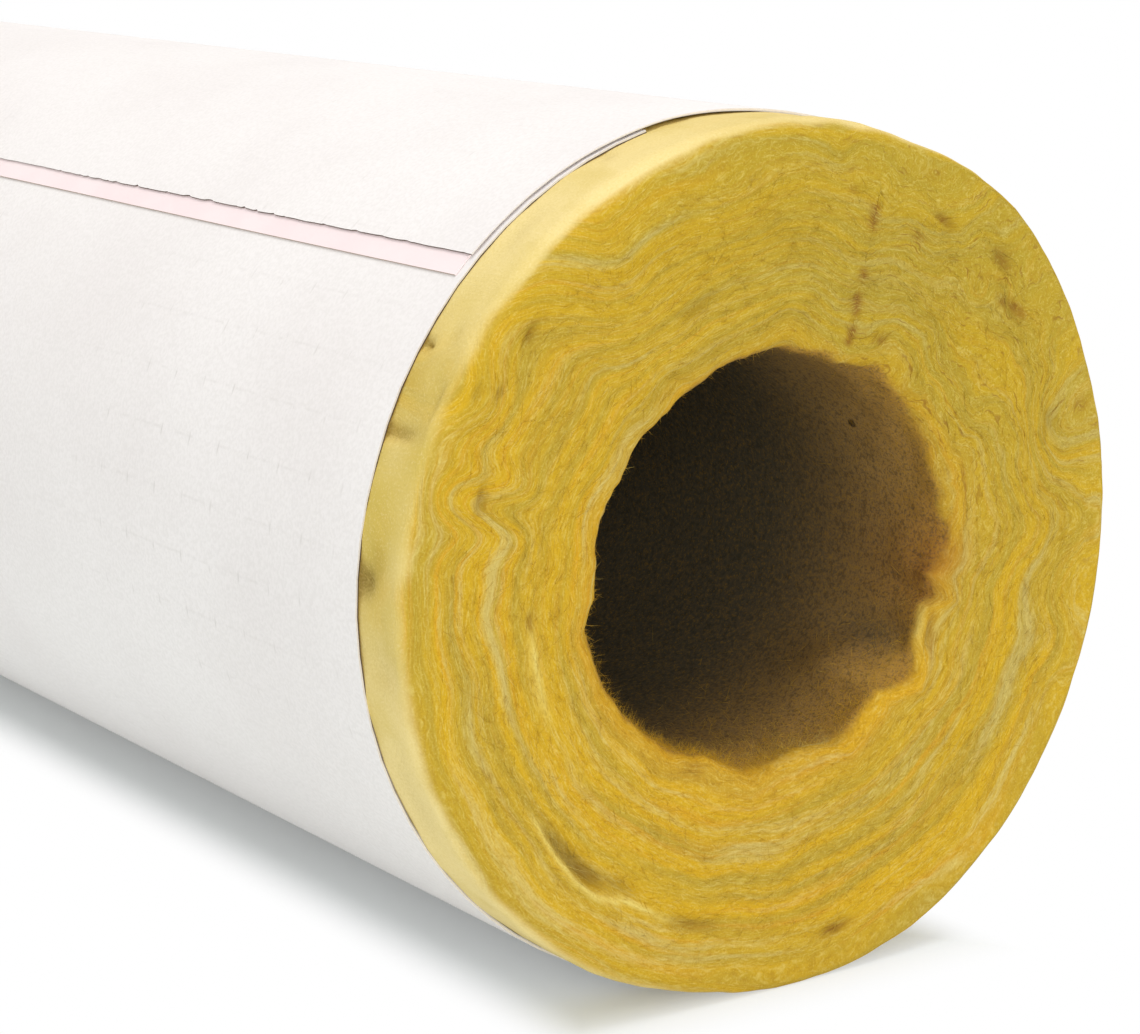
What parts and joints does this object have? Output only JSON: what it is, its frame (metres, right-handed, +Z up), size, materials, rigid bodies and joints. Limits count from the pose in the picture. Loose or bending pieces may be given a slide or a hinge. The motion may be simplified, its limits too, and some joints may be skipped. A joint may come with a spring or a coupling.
{
  "type": "fiberglass pipe insulation",
  "caption": "Straight split tube of yellow moulded glass wool in a white paper jacket with a self-sealing lap, which slips over a pipe to insulate it.",
  "frame": {"origin": "on the bore's axis, halfway along the tube, with the tube lying on its side", "axes": "+X along the bore towards the end that the picture shows, +Z up, the lap on the upper side towards -Y"},
  "size_m": [0.9144, 0.1022, 0.1023],
  "materials": {
    "glass_wool": "matt bonded glass fibres, golden yellow with paler and darker layers",
    "jacket_paper": "smooth matt white kraft paper with a faint scrim grid",
    "release_paper": "smooth pale pink release paper"
  },
  "bodies": {
    "root": {"glass_wool_tube": "glass_wool", "jacket": "jacket_paper", "lap_release_strip": "release_paper"}
  },
  "joints": []
}
